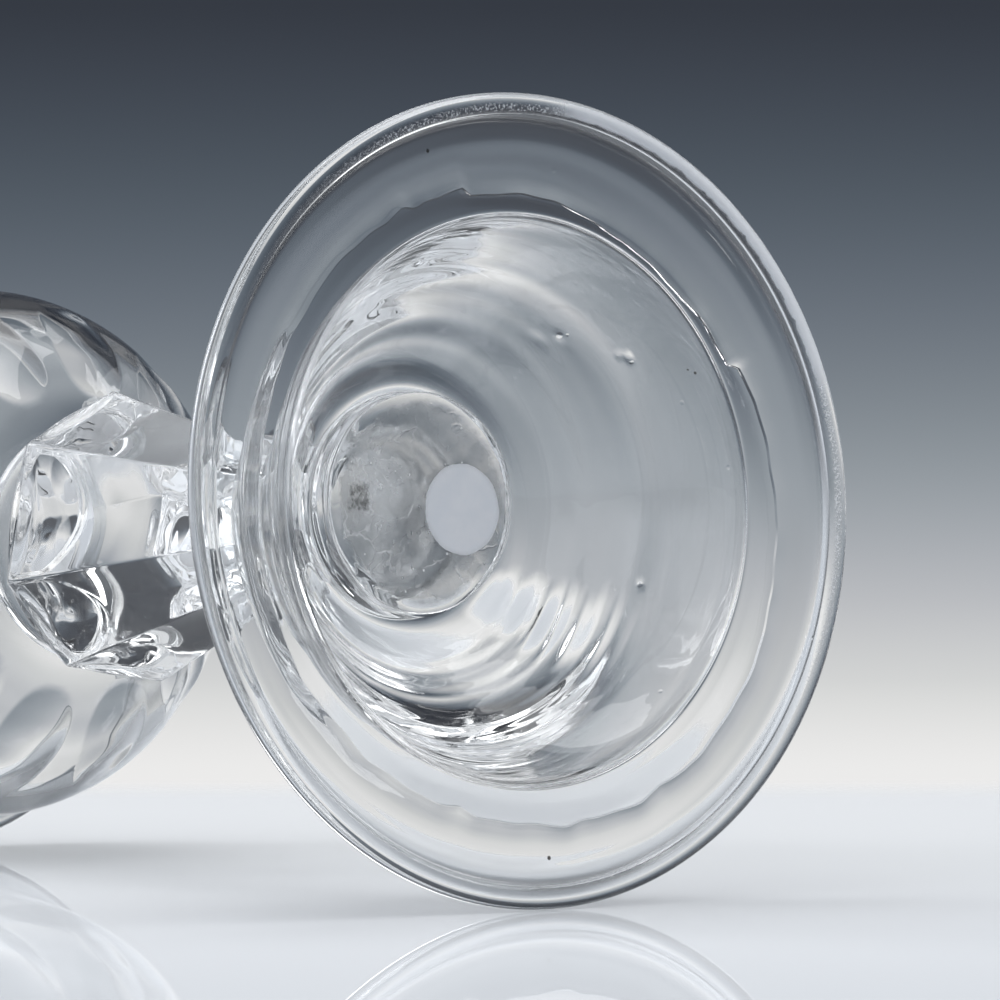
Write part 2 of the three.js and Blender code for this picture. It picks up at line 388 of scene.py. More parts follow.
def broken_material():
    """Snapped glass: grey and half clear, with splinters, sparkling grit and a painted dark patch, a painted refraction
    of something dark behind it.
    """
    m = bpy.data.materials.new("broken_glass")
    g = Nodes(m)
    place, r, x, y, z = polar(g)
    b = g.add("ShaderNodeBsdfPrincipled")
    out = g.add("ShaderNodeOutputMaterial")
    b.inputs["Transmission Weight"].default_value = 1.0
    b.inputs["IOR"].default_value = IOR

    def off(v, c):
        return g.math("MULTIPLY", g.math("SUBTRACT", v, c / 1000), 1.0)

    # how far out on the face: its edge is smooth and clear
    px, py = off(x, 0.8), off(y, -0.8)
    out_r = g.math("SQRT", g.math("ADD", g.math("MULTIPLY", px, px), g.math("MULTIPLY", py, py)))
    wobble = g.math("MULTIPLY", g.math("SUBTRACT", g.noise(place, 260.0, 3.0, 0.6), 0.5), 0.0035)
    torn = g.math(
        "MULTIPLY", g.span(g.math("ADD", out_r, wobble), 0.0132, 0.0143, 1.0, 0.0), g.span(z, 0.0276, 0.0281, 1.0, 0.0)
    )

    # painted dark patch: a squarish patch painted nearly black where the face shows something dark through the glass, a
    # painted refraction
    qx, qy = off(x, -6.1), off(y, -8.6)
    u = g.math("ABSOLUTE", g.math("MULTIPLY", g.math("ADD", qx, qy), 0.707))
    v = g.math("ABSOLUTE", g.math("MULTIPLY", g.math("SUBTRACT", qx, qy), 0.707))
    far = g.math("ADD", g.math("MAXIMUM", u, v), g.math("MULTIPLY", g.math("SUBTRACT", g.noise(place, 700.0, 4.0, 0.7), 0.5), 0.0022))
    painted_dark_patch = g.math("MULTIPLY", g.span(far, 0.0014, 0.0024, 1.0, 0.0), g.span(g.noise(place, 900.0, 3.0, 0.7), 0.25, 0.6, 0.45, 1.0))
    tint = g.add("ShaderNodeMix", data_type="RGBA")
    g.join(g.noise(place, 240.0, 3.0, 0.6), tint.inputs["Factor"])
    tint.inputs["A"].default_value = (0.84, 0.85, 0.855, 1)
    tint.inputs["B"].default_value = (0.64, 0.65, 0.655, 1)
    # the painted dark patch (painted refraction of something dark) turns the colour nearly black here
    dark = g.add("ShaderNodeMix", data_type="RGBA")
    g.join(painted_dark_patch, dark.inputs["Factor"])
    g.join(tint.outputs["Result"], dark.inputs["A"])
    dark.inputs["B"].default_value = (0.05, 0.052, 0.052, 1)
    g.join(dark.outputs["Result"], b.inputs["Base Color"])

    haze = g.span(g.noise(place, 380.0, 3.0, 0.65), 0.3, 0.7, 0.04, 0.2)
    g.join(g.math("MULTIPLY", haze, torn), b.inputs["Roughness"])

    # splinters and grit
    cell = g.tree.nodes.new("ShaderNodeTexVoronoi")
    cell.inputs["Scale"].default_value = 900.0
    g.join(place, cell.inputs["Vector"])
    pick = g.tree.nodes.new("ShaderNodeSeparateColor")
    g.join(cell.outputs["Color"], pick.inputs[0])
    grit = g.math("MULTIPLY", g.span(cell.outputs["Distance"], 0.1, 0.24, 1.0, 0.0), g.math("GREATER_THAN", pick.outputs[0], 0.86))
    splinter = g.noise(place, 1100.0, 4.0, 0.75, 1.4)
    crack = g.tree.nodes.new("ShaderNodeTexVoronoi")
    crack.feature = "DISTANCE_TO_EDGE"
    crack.inputs["Scale"].default_value = 210.0
    warp = g.add("ShaderNodeVectorMath", operation="ADD")
    g.join(place, warp.inputs[0])
    small = g.add("ShaderNodeVectorMath", operation="SCALE")
    n = g.tree.nodes.new("ShaderNodeTexNoise")
    n.inputs["Scale"].default_value = 300.0
    g.join(place, n.inputs["Vector"])
    g.join(n.outputs["Color"], small.inputs[0])
    small.inputs["Scale"].default_value = 0.004
    g.join(small.outputs[0], warp.inputs[1])
    g.join(warp.outputs[0], crack.inputs["Vector"])
    lines = g.math("MULTIPLY", g.span(crack.outputs["Distance"], 0.0, 0.05, 1.0, 0.0), g.span(g.noise(place, 150.0, 2.0), 0.5, 0.62))
    h = g.math("ADD", g.math("MULTIPLY", splinter, 0.3), g.math("ADD", g.math("MULTIPLY", grit, 0.9), g.math("MULTIPLY", lines, 0.7)))
    bump = g.add("ShaderNodeBump")
    bump.inputs["Strength"].default_value = 0.6
    bump.inputs["Distance"].default_value = 0.0002
    g.join(g.math("MULTIPLY", h, torn), bump.inputs["Height"])
    g.join(bump.outputs[0], b.inputs["Normal"])

    # crushed glass scatters light
    white = g.add("ShaderNodeBsdfDiffuse")
    mix = g.add("ShaderNodeMixShader")
    dust = g.math("ADD", g.math("MULTIPLY", grit, 0.9), g.math("MULTIPLY", lines, 0.35), clamp=True)
    grey = g.add("ShaderNodeMix", data_type="RGBA")
    g.join(dust, grey.inputs["Factor"])
    grey.inputs["A"].default_value = (0.36, 0.375, 0.38, 1)
    grey.inputs["B"].default_value = (0.97, 0.98, 0.99, 1)
    g.join(grey.outputs["Result"], white.inputs["Color"])
    cloud = g.span(g.noise(place, 200.0, 3.0, 0.65), 0.35, 0.7, 0.40, 0.56)
    # the grey scatter is kept out of the painted dark patch
    cloud = g.math("MULTIPLY", cloud, g.math("SUBTRACT", 1.0, painted_dark_patch))
    g.join(g.math("MULTIPLY", g.math("MAXIMUM", dust, cloud), torn), mix.inputs[0])
    g.join(b.outputs[0], mix.inputs[1])
    g.join(white.outputs[0], mix.inputs[2])
    g.join(mix.outputs[0], out.inputs["Surface"])
    return m


def paper_material():
    """Coated pale paper, bare, with fibres, a faint stain and slightly soiled edges."""
    m = bpy.data.materials.new("label_paper")
    g = Nodes(m)
    place = g.add("ShaderNodeTexCoord").outputs["Object"]
    b = g.add("ShaderNodeBsdfPrincipled")
    out = g.add("ShaderNodeOutputMaterial")
    fibre = g.noise(place, 2600.0, 4.0, 0.75, 0.8)
    cloud = g.noise(place, 190.0, 3.0, 0.6)
    mix = g.add("ShaderNodeMix", data_type="RGBA")
    g.join(g.span(cloud, 0.35, 0.7), mix.inputs["Factor"])
    mix.inputs["A"].default_value = (0.80, 0.83, 0.88, 1)
    mix.inputs["B"].default_value = (0.85, 0.87, 0.91, 1)
    d = g.add("ShaderNodeVectorMath", operation="DISTANCE")
    g.join(place, d.inputs[0])
    d.inputs[1].default_value = (LABEL_AT[0] / 1000, LABEL_AT[1] / 1000, LABEL_Z / 1000)
    edge = g.math("MULTIPLY", g.span(d.outputs["Value"], 0.0056, 0.0065), g.span(fibre, 0.3, 0.7, 0.3, 0.9))
    soil = g.add("ShaderNodeMix", data_type="RGBA")
    g.join(edge, soil.inputs["Factor"])
    g.join(mix.outputs["Result"], soil.inputs["A"])
    soil.inputs["B"].default_value = (0.66, 0.68, 0.71, 1)
    g.join(soil.outputs["Result"], b.inputs["Base Color"])
    g.join(g.span(fibre, 0.3, 0.7, 0.5, 0.68), b.inputs["Roughness"])
    bump = g.add("ShaderNodeBump")
    bump.inputs["Strength"].default_value = 0.25
    bump.inputs["Distance"].default_value = 0.00003
    g.join(fibre, bump.inputs["Height"])
    g.join(bump.outputs[0], b.inputs["Normal"])
    g.join(b.outputs[0], out.inputs["Surface"])
    return m


# ------------------------------------------------------------------------------------
# Foot
# ------------------------------------------------------------------------------------
SCAR_FACE = 26.5  # height of the scar's broken face
ROOT_Z = 29.4  # where the scar joins the dome
TOP_Z = 37.55  # where the dome joins the lower collar
TOP_R = 10.7
FOLD_MEAN = 42.9
FLANGE_T = 1.2  # thickness of the single layer between the dome and the band
DOME_T = 0.5  # thickness of the dome's wall at the crease
# how fast the wall thickens up the dome: (distance up from the crease, mm per mm)
TAPER = [(0, 0.077), (5, 0.108), (10, 0.18), (15, 0.23), (20, 0.154), (27, 0.127), (34, 0.126)]


def base_z(r):
    """Height of the flange's underside, before the band that is folded under it."""
    return 2.45 - 0.08 * (r - 38.35)


def top_z(r):
    """Height of the flange's upper face: thickest where the band ends."""
    return base_z(r) + FLANGE_T - 0.065 * np.maximum(0, r - 44) - 0.09 * np.maximum(0, 43 - r)


# Where the turned-under band ends: (angle in degrees, radius in mm).
FOLD = [
    (0, 39.1), (6, 39.9), (12.8, 39.7), (17.2, 39.8), (18.6, 41.3), (21, 41.7), (26, 42.1), (34, 42.3),
    (50, 43.1), (64, 43.5), (76, 44.3), (88, 44.2), (97, 44.6), (101, 44.6), (107, 44.0), (112, 44.6),
    (120, 44.1), (125.5, 43.7), (129, 44.2), (138, 43.4), (145, 43.4), (149.5, 43.6), (153, 42.9),
    (157, 43.4), (164, 43.8), (169, 43.7), (175, 44.2), (183, 43.9), (194, 44.8), (206, 44.3), (220, 44.5),
    (234, 43.7), (248, 43.5), (254, 43.5), (263, 43.2), (274, 43.3), (284, 42.7), (288.5, 43.4),
    (291, 42.5), (293.5, 42.8), (297, 42.4), (302.6, 42.9), (303.8, 41.6), (309, 41.3), (316, 41.3),
    (324, 40.9), (332, 40.1), (340, 39.5), (349, 39.4), (360, 39.1),
]


def scar_outline(th, grow=0.0):
    """The broken lump's outline round its own centre, as a radius round the axis."""
    r0 = 15.5 + grow + 0.16 * np.sin(2 * th + 1.0) + 0.1 * np.sin(3 * th + 0.3) + 0.05 * np.sin(7 * th)
    cx, cy = 0.8, -0.8
    c = cx * np.cos(th) + cy * np.sin(th)
    e = -cx * np.sin(th) + cy * np.cos(th)
    return c + np.sqrt(np.maximum(r0 * r0 - e * e, 0))


def build_foot(glass, joint):
    n = 400
    th = np.arange(n) / n * TAU
    inner = [
        (38.35, 2.45), (37.9, 4.75), (37.1, 7.05), (36.0, 9.25), (34.75, 11.3), (33.4, 13.25), (31.95, 15.15), (30.45, 17.0),
        (28.9, 18.85), (27.35, 20.65), (25.75, 22.4), (24.15, 24.15), (22.5, 25.85), (20.9, 27.5), (19.4, 28.9), (18.2, 29.8),
        (17.2, 30.25), (16.4, 30.25), (15.8, 29.95), (15.5, ROOT_Z),
    ]
    # the crease is slightly rounded
    crease = inner[0]
    p = (crease[0] - 0.03, crease[1] + 0.15)
    q = (crease[0] + 0.15, base_z(crease[0] + 0.15))
    under = np.vstack([
        line(inner[:0:-1] + [p], 0.5), fillet(p, crease, q),
        line([q, (40.2, base_z(40.2)), (FOLD_MEAN, base_z(FOLD_MEAN))], 0.6),
    ])
    # the dome's outside: a thin wall at the crease that thickens towards the crown
    hull = line(inner, 0.3)
    hs, hn = along(hull), outward(hull)
    soften = np.exp(-0.5 * (np.arange(-8, 9) / 4) ** 2)
    soften /= soften.sum()
    grow = np.interp(hs, *np.array(TAPER).T)
    grow = np.convolve(np.r_[np.full(8, grow[0]), grow, np.full(8, grow[-1])], soften, "valid")
    t = DOME_T + np.r_[0, np.cumsum((grow[1:] + grow[:-1]) / 2 * np.diff(hs))]
    shell = hull + hn * t[:, None]
    first = int(np.argmax(shell[:, 1] > top_z(shell[:, 0])))
    gap = shell[first - 1 : first + 1, 1] - top_z(shell[first - 1 : first + 1, 0])
    s0 = np.interp(0, gap, hs[first - 1 : first + 1])
    wall_s = np.r_[s0, np.arange(s0 + 0.45, 33.0, 0.6)]
    wall = np.c_[np.interp(wall_s, hs, shell[:, 0]), np.interp(wall_s, hs, shell[:, 1])]
    c = wall[0, 0]
    round_ = fillet((c + 0.35, top_z(c + 0.35)), wall[0], wall[1], 4)
    crown_r, crown_z = wall[-1]
    crown = line(
        [
            (crown_r, crown_z), (crown_r * 0.62 + TOP_R * 0.38, crown_z + 0.75 * (TOP_Z - 0.5 - crown_z)),
            (crown_r * 0.30 + TOP_R * 0.70, TOP_Z - 0.5), (TOP_R + 0.5, TOP_Z - 0.28), (TOP_R, TOP_Z),
        ],
        1.0,
    )
    rim = line(
        [
            (FOLD_MEAN, base_z(FOLD_MEAN)), (46, base_z(46)), (49.4, base_z(49.4)), (51.2, base_z(51.2)), (51.8, 1.15), (52.2, 0.5),
            (52.5, 0.08, 1), (53.4, 0.0), (54.15, 0.08, 1), (54.7, 0.65), (54.98, 1.5), (54.9, 2.1), (54.45, 2.58), (53.6, 2.8),
            (52.5, 2.7), (51.2, 2.46), (49.6, 2.5), (48.0, top_z(48.0)),
        ],
        0.5,
    )
    upper = np.r_[47.0, 46.0, 45.0, 44.2, 43.6, 43.0, 42.4, 41.8, 41.2, 40.6, c + 0.75, c + 0.35]
    upper = np.vstack([np.c_[upper, top_z(upper)], round_])
    fold = np.vstack([rim, upper, wall[1:], crown[1:]])
    fold_s = np.r_[np.zeros(len(rim) + len(upper)), wall_s[1:], np.full(len(crown) - 1, wall_s[-1])]
    # tight rings where the band ends
    extra = FOLD_MEAN + np.array([-0.6, -0.38, -0.2, -0.1, -0.04, 0.04, 0.1, 0.2, 0.38, 0.6, 0.84])
    body = np.vstack([under, fold[1:]])
    split = len(under)
    index = np.arange(len(body))
    close = (index < len(body) // 2) & (np.abs(body[:, 0] - FOLD_MEAN) < 0.9) & (body[:, 1] < 3)
    head, tail = body[(index < split) & ~close], body[(index >= split) & ~close]
    up = np.r_[np.zeros(len(head) + len(extra)), fold_s[1:][~close[split:]]]  # distance up the outside
    body = np.vstack([head, np.c_[extra, base_z(extra)], tail])
    split = len(head)
    s = along(body)[:, None]
    nrm = outward(body)
    r = np.repeat(body[:, :1], n, 1)
    z = np.repeat(body[:, 1:], n, 1)
    widest = int(np.argmax(body[:, 0]))
    low = (np.arange(len(body)) < widest)[:, None]

    # the band's ragged inner edge
    a = np.degrees(th)
    fa, fr = np.array(FOLD).T
    edge = np.interp(a, fa, fr)
    edge = edge + 0.10 * np.sin(23 * th + 1) * (0.5 + 0.5 * np.sin(3 * th)) + 0.06 * np.sin(41 * th + 2)
    inner = 38.6 + (r - 38.6) / (FOLD_MEAN - 38.6) * (edge - 38.6)
    outer = 51.0 - (51.0 - r) / (51.0 - FOLD_MEAN) * (51.0 - edge)
    moved = np.where(r < FOLD_MEAN, np.where(r > 38.6, inner, r), np.where(r < 51.0, outer, r))
    flange = low & (r > 38.4) & (r < 52.6)
    r = np.where(flange, moved, r)
    crisp = 0.3 + 0.08 * np.sin(2 * th + 0.5) + 0.05 * np.sin(5 * th)
    soft = 0.38 + 0.08 * np.sin(3 * th + 2.0)
    lip = crisp * step(-0.05, 0.05, r - edge) - soft * (1 - np.exp(-np.maximum(0, r - edge) / 1.4))
    down = np.where(r < 51.5, base_z(r) - z, 0)
    z = np.where(flange, z + down - lip * (1 - step(51.6, 52.5, r)), z)
    # the upper face bends where the band ends
    far = np.interp(np.linspace(-20, 380, 801), np.r_[a - 360, a, a + 360], np.tile(edge, 3))
    near = np.exp(-0.5 * (np.arange(-20, 21) / 9) ** 2)
    edge = np.interp(a, np.linspace(-20, 380, 801), np.convolve(far, near / near.sum(), "same"))
    bend = -0.09 * (np.maximum(0, edge - r) - np.maximum(0, 43 - r)) - 0.065 * (np.maximum(0, r - edge - 1) - np.maximum(0, r - 44))
    z = z + bend * ~low * (body[:, 1] < 5.0)[:, None] * step(39.8, 41.0, r) * (1 - step(48.0, 51.0, r))

    # fine step left by the folding tool, on part of the band
    mark = 49.6 + 0.3 * np.sin(th * 2 + 1.0)
    groove = 0.035 * step(-0.1, 0.1, r - mark) * (0.5 + 0.5 * np.cos(th - 2.2))
    z = np.where(flange, z + groove * (1 - step(50.3, 51.6, r)), z)

    # tool marks: fine rings on the flange, broad swirls up the dome
    is_dome = (body[:, 0] < 38.0)[:, None]
    fade = np.minimum(step(0.2, 3.0, s), step(0.2, 3.0, s[-1] - s))
    steady = 1 - (np.exp(-(((body[:, 0] - 53.3) / 1.2) ** 2)) * (body[:, 1] < 1.0))[:, None]
    fine = waves(s, th, 11, (1.9, 2.9, 4.3, 6.1), (0.0022, 0.0044, 0.007, 0.011))
    fine = fine * (1 + 0.5 * (1 + np.cos(th - 4.6)))
    broad = waves(s, th, 23, (3.1, 5.2, 8.4, 13.0, 21.0), (0.006, 0.014, 0.03, 0.05, 0.07), 2)
    rise = body[:, 1:] - np.where(low, 0, 3.2)
    calm = 0.015 + 0.985 * step(11.2, 14.8, rise)  # the wall is smooth next to the crease
    steady = steady * (1 - 0.93 * step(50.6, 51.8, body[:, :1]))
    d = np.where(is_dome, (broad + 0.4 * fine) * calm, fine + 0.15 * broad) * fade * steady
    # the side that lies lowest in the photograph thickens faster
    more = np.interp(hs, (10.5, 13, 18, 22, 25), (0, 0.12, 0.25, 0.2, 0))
    more = np.r_[0, np.cumsum((more[1:] + more[:-1]) / 2 * np.diff(hs))]
    more = np.interp(up, hs, more)[:, None] * step(12.0, 22.0, body[:, :1])
    jag = 9 * np.sin(1.9 * s + 1.3 * np.sin(0.7 * s)) + 6 * np.sin(4.3 * s + 2)
    lower = step(72, 90, a + jag) * (1 - step(215, 265, a + jag))
    d = d + more * step(68, 94, a + 0.3 * jag) * (1 - step(215, 265, a))
    flame = waves(s, th, 71, (1.35, 2.1, 3.2, 5.0, 0.85), (0.011, 0.018, 0.032, 0.04, 0.005), 2)
    d = d + flame * np.where(low, 1.0, 0.5) * lower * is_dome * step(11.5, 14.0, rise) * step(16.5, 21.0, body[:, :1])

    # blisters in the dome
    for r0, deg, size, high in ((33.7, 7.4, 0.65, 0.42), (32.9, 5.9, 0.4, 0.24), (30.0, 352.4, 0.9, -0.2), (31.4, 65.6, 0.5, 0.36),
                                (28.3, 349.3, 1.6, 0.10), (24.0, 205.0, 0.6, 0.2)):
        t0 = math.radians(deg)
        arc = (np.angle(np.exp(1j * (th - t0))) * r0)[None, :]
        k = np.argmin(np.abs(body[: split, 0] - r0))
        d = d + np.where(low, high * np.exp(-((arc / size) ** 2) - ((s - s[k]) / (0.42 * size)) ** 2), 0)
    r = r + nrm[:, :1] * d
    z = z + nrm[:, 1:] * d

    # the ceiling follows the scar's outline
    shift = scar_outline(th) - 15.5
    r = np.where(is_dome & (s < 22), r + shift * np.exp(-s / 2.4), r)
    z = np.where(low, np.maximum(z, 0), z)

    cap = np.array([0.34, 0.67])[:, None] * r[0]
    rings = np.vstack([ringed(cap, np.full(cap.shape, ROOT_Z), th), ringed(r, z, th)])
    inside = np.array([0.66, 0.33])[:, None] * r[-1]
    rings = np.vstack([rings, ringed(inside, np.full(inside.shape, z[-1].mean()), th)])
    rings[-3, :, 2] = TOP_Z
    rings[-2:, :, 2] = TOP_Z
    kinds = np.zeros(len(rings), int)
    kinds[:2] = 1
    kinds[-3:] = 1
    o = skin("foot_glass", rings, kinds, (0, 0, ROOT_Z, 1), (0, 0, TOP_Z, 1))
    o.data.materials.append(glass)
    o.data.materials.append(joint)
    return o


def build_scar(glass, joint):
    n = 480
    th = np.arange(n) / n * TAU
    g = np.random.default_rng(5)
    out = scar_outline(th)
    # fraction of the outline, height: from the middle of the face, over the edge, up to the root
    prof = line([(0.0, 26.9), (0.25, 26.85), (0.5, 26.75), (0.74, 26.6), (0.87, 26.45), (0.945, 26.45), (0.985, 26.8),
                 (1.0, 27.5), (1.0, 28.4), (1.0, ROOT_Z)], 0.03)
    f = prof[1:, 0][:, None]
    z = np.repeat(prof[1:, 1:], n, 1)
    r = f * out[None, :]
    x, y = r * np.cos(th), r * np.sin(th)
    # shells flaked off the face, each with a crisp edge, and fine splinters; none at the smooth edge
    face = (1 - step(0.86, 0.94, f)) * (prof[1:, 1] < 27.4)[:, None]
    rough = np.zeros_like(x)
    for k in range(26):
        w = g.uniform(0.35, 2.6)
        a, p = g.uniform(0, TAU, 2)
        u = x * math.cos(a) + y * math.sin(a)
        v = -x * math.sin(a) + y * math.cos(a)
        rough += 0.1 * min(1.0, 1.0 / w) * np.sin(w * u + p + 0.8 * np.sin(0.45 * v + p * 2))
    shells = np.zeros_like(x)
    for cx, cy, size, deep in (
        (4.2, 3.4, 8.1, 0.34), (11.2, -4.3, 5.6, 0.55), (-6.1, 9.4, 7.6, 0.95), (1.8, -11.7, 6.0, 0.4), (-10.8, 0.9, 6.6, 0.3),
        (8.2, -8.6, 3.4, 0.4), (-2.5, -1.5, 5.2, 0.16), (12.4, 1.8, 2.8, 0.3), (-3.2, 4.4, 3.4, 0.14), (5.6, -3.4, 3.1, 0.22),
    ):
        d = np.hypot(x - cx, y - cy) / (size * (1 + 0.06 * np.sin(3 * np.arctan2(y - cy, x - cx) + cx)))
        bowl = deep * np.clip(1 - d * d, 0, 1)
        ring = 0.02 * deep * np.sin(9 * d * d) * (d < 1)
        shells = np.maximum(shells, bowl + ring)
    z = z + face * (0.07 * rough + 0.5 * shells)
    r = r + (0.05 * np.sin(9 * th + 1) * np.exp(-(((z - 28) / 0.8) ** 2))) * (f > 0.98) * step(ROOT_Z, 28.6, z)
    r[-1], z[-1] = out, ROOT_Z
    cap = np.array([0.67, 0.34])[:, None] * out
    rings = np.vstack([ringed(r, z, th), ringed(cap, np.full(cap.shape, ROOT_Z), th)])
    kinds = np.zeros(len(rings), int)
    kinds[-3:] = 1
    o = skin("pontil_scar_glass", rings, kinds, (0, 0, float(z[0].mean()), 0), (0, 0, ROOT_Z, 1))
    o.data.materials.append(glass)
    o.data.materials.append(joint)
    return o


LABEL_AT = (4.75, 4.6)
LABEL_R = 6.35
LABEL_Z = 26.1


def build_label(paper):
    n = 160
    th = np.arange(n) / n * TAU
    edge = LABEL_R + 0.03 * np.sin(9 * th) + 0.02 * np.sin(31 * th + 1)
    f = np.r_[np.linspace(0.04, 0.96, 26), 0.985, 1.0]
    r = f[:, None] * edge
    x, y = r * np.cos(th), r * np.sin(th)
    # a slightly buckled disc with one edge lifting
    sag = 0.05 * np.sin(0.55 * x + 0.3 * y) + 0.04 * np.sin(0.9 * y - 0.4 * x + 1)
    lift = -0.16 * step(0.72, 1.0, f[:, None] * (0.5 + 0.5 * np.cos(th - 4.0)) * 1.05)
    z = LABEL_Z + sag + lift
    low = ringed(r, z, th)
    low[..., 2] = z
    high = low[::-1].copy()
    high[..., 2] += 0.11
    rings = np.vstack([low, high])
    rings[..., 0] += LABEL_AT[0]
    rings[..., 1] += LABEL_AT[1]
    a = rings[0].mean(0)
    b = rings[-1].mean(0)
    o = skin("label_disc", rings, None, (*a, 0), (*b, 0))
    o.data.materials.append(paper)
    return o


# ------------------------------------------------------------------------------------
# Collars and stem
# ------------------------------------------------------------------------------------
COLLAR_TOP = 42.45
MERESE_LOW = 109.75
BOWL_LOW = 113.05


def lathe(name, pts, gap, n, glass, joint, seed, heights):
    """A turned piece between two fused joints."""
    th = np.arange(n) / n * TAU
    p = line(pts, gap)
    s = along(p)[:, None]
    nrm = outward(p)
    fade = np.minimum(step(0, 1.2, s), step(0, 1.2, s[-1] - s))
    d = waves(s, th, seed, (2.1, 3.7, 9.0), heights) * fade
    r = p[:, :1] + nrm[:, :1] * d
    z = p[:, 1:] + nrm[:, 1:] * d
    lo = np.array([0.45, 0.75])[:, None] * r[0]
    hi = np.array([0.75, 0.45])[:, None] * r[-1]
    rings = np.vstack([
        ringed(lo, np.full(lo.shape, p[0, 1]), th), ringed(r, z, th), ringed(hi, np.full(hi.shape, p[-1, 1]), th),
    ])
    kinds = np.zeros(len(rings), int)
    kinds[:2] = 1
    kinds[-3:] = 1
    o = skin(name, rings, kinds, (0, 0, p[0, 1], 1), (0, 0, p[-1, 1], 1))
    o.data.materials.append(glass)
    o.data.materials.append(joint)
    return o


STEM_CORNERS = np.radians([310.5, 265, 208, 166, 121, 78, 35, 353])[::-1]


def build_stem(glass, joint):
    n = 576
    th = np.arange(n) / n * TAU
    low_r, high_r = 9.2, 12.5
    pts = [
        (low_r, COLLAR_TOP), (9.6, 43.0), (9.45, 44.5), (9.35, 48), (9.8, 54), (11.0, 61), (12.7, 68), (14.5, 75), (16.2, 81),
        (17.7, 86), (19.1, 91), (20.6, 96), (21.7, 99.6), (22.0, 100.9, 1), (21.7, 101.9), (20.6, 103.5), (18.6, 105.2),
        (16.2, 106.8), (14.0, 108.1), (12.9, 109.0), (high_r, MERESE_LOW),
    ]
    p = line(pts, 0.5)
    s = along(p)[:, None]
    z = np.repeat(p[:, 1:], n, 1)
    R = p[:, :1]
    c = np.sort(STEM_CORNERS % TAU)
    nxt = np.r_[c[1:], c[0] + TAU]
    k = np.searchsorted(c, th, side="right") - 1
    k = np.where(k < 0, len(c) - 1, k)
    t = np.where(th < c[0], th + TAU, th)
    half = (nxt[k] - c[k]) / 2
    off = t - (c[k] + half)
    flat = np.cos(half) / np.cos(off)
    kern = np.exp(-0.5 * (np.arange(-4, 5) / 1.1) ** 2)
    kern /= kern.sum()
    flat = np.convolve(np.r_[flat[-4:], flat, flat[:4]], kern, "valid")
    full = step(COLLAR_TOP + 0.2, 49.0, p[:, 1:]) * (1 - step(104.5, MERESE_LOW - 0.4, p[:, 1:]))
    r = R * (1 - full + full * flat)
    # rounded end of each panel, under the shoulder
    q = off / half
    arch = np.clip(1 - q**2, 0, 1) ** 0.5
    tip = 88.0 + 8.0 * (1 - arch)
    panel = step(0.0, 1.0, (z - tip) / 2.2) * (1 - step(98.8, 100.6, z)) * (np.abs(q) < 0.93)
    r = r - 0.34 * panel * (1 - 0.3 * q**2)
    # each panel is a little hollow
    r = r - 0.55 * full * (1 - step(99.5, 101.2, z)) * step(46.0, 62.0, z) * (1 - q**2)
    # lobes on top of the shoulder, between the panels' corners
    top = step(101.4, 103.0, z) * (1 - step(106.8, 108.6, z))
    r = r + top * (1.1 * (1 - q**2) - 0.35)
    d = waves(s, th, 41, (6.0, 11.0, 19.0), (0.012, 0.03, 0.05)) * np.minimum(step(0, 2, s), step(0, 2, s[-1] - s))
    r = r + d
    r[0], r[-1] = low_r, high_r
    lo = np.array([0.45, 0.75])[:, None] * r[0]
    hi = np.array([0.75, 0.45])[:, None] * r[-1]
    rings = np.vstack([
        ringed(lo, np.full(lo.shape, COLLAR_TOP), th), ringed(r, z, th), ringed(hi, np.full(hi.shape, MERESE_LOW), th),
    ])
    kinds = np.zeros(len(rings), int)
    kinds[:2] = 1
    kinds[-3:] = 1
    o = skin("stem_glass", rings, kinds, (0, 0, COLLAR_TOP, 1), (0, 0, MERESE_LOW, 1))
    o.data.materials.append(glass)
    o.data.materials.append(joint)
    return o


# ------------------------------------------------------------------------------------
# Bowl
# ------------------------------------------------------------------------------------


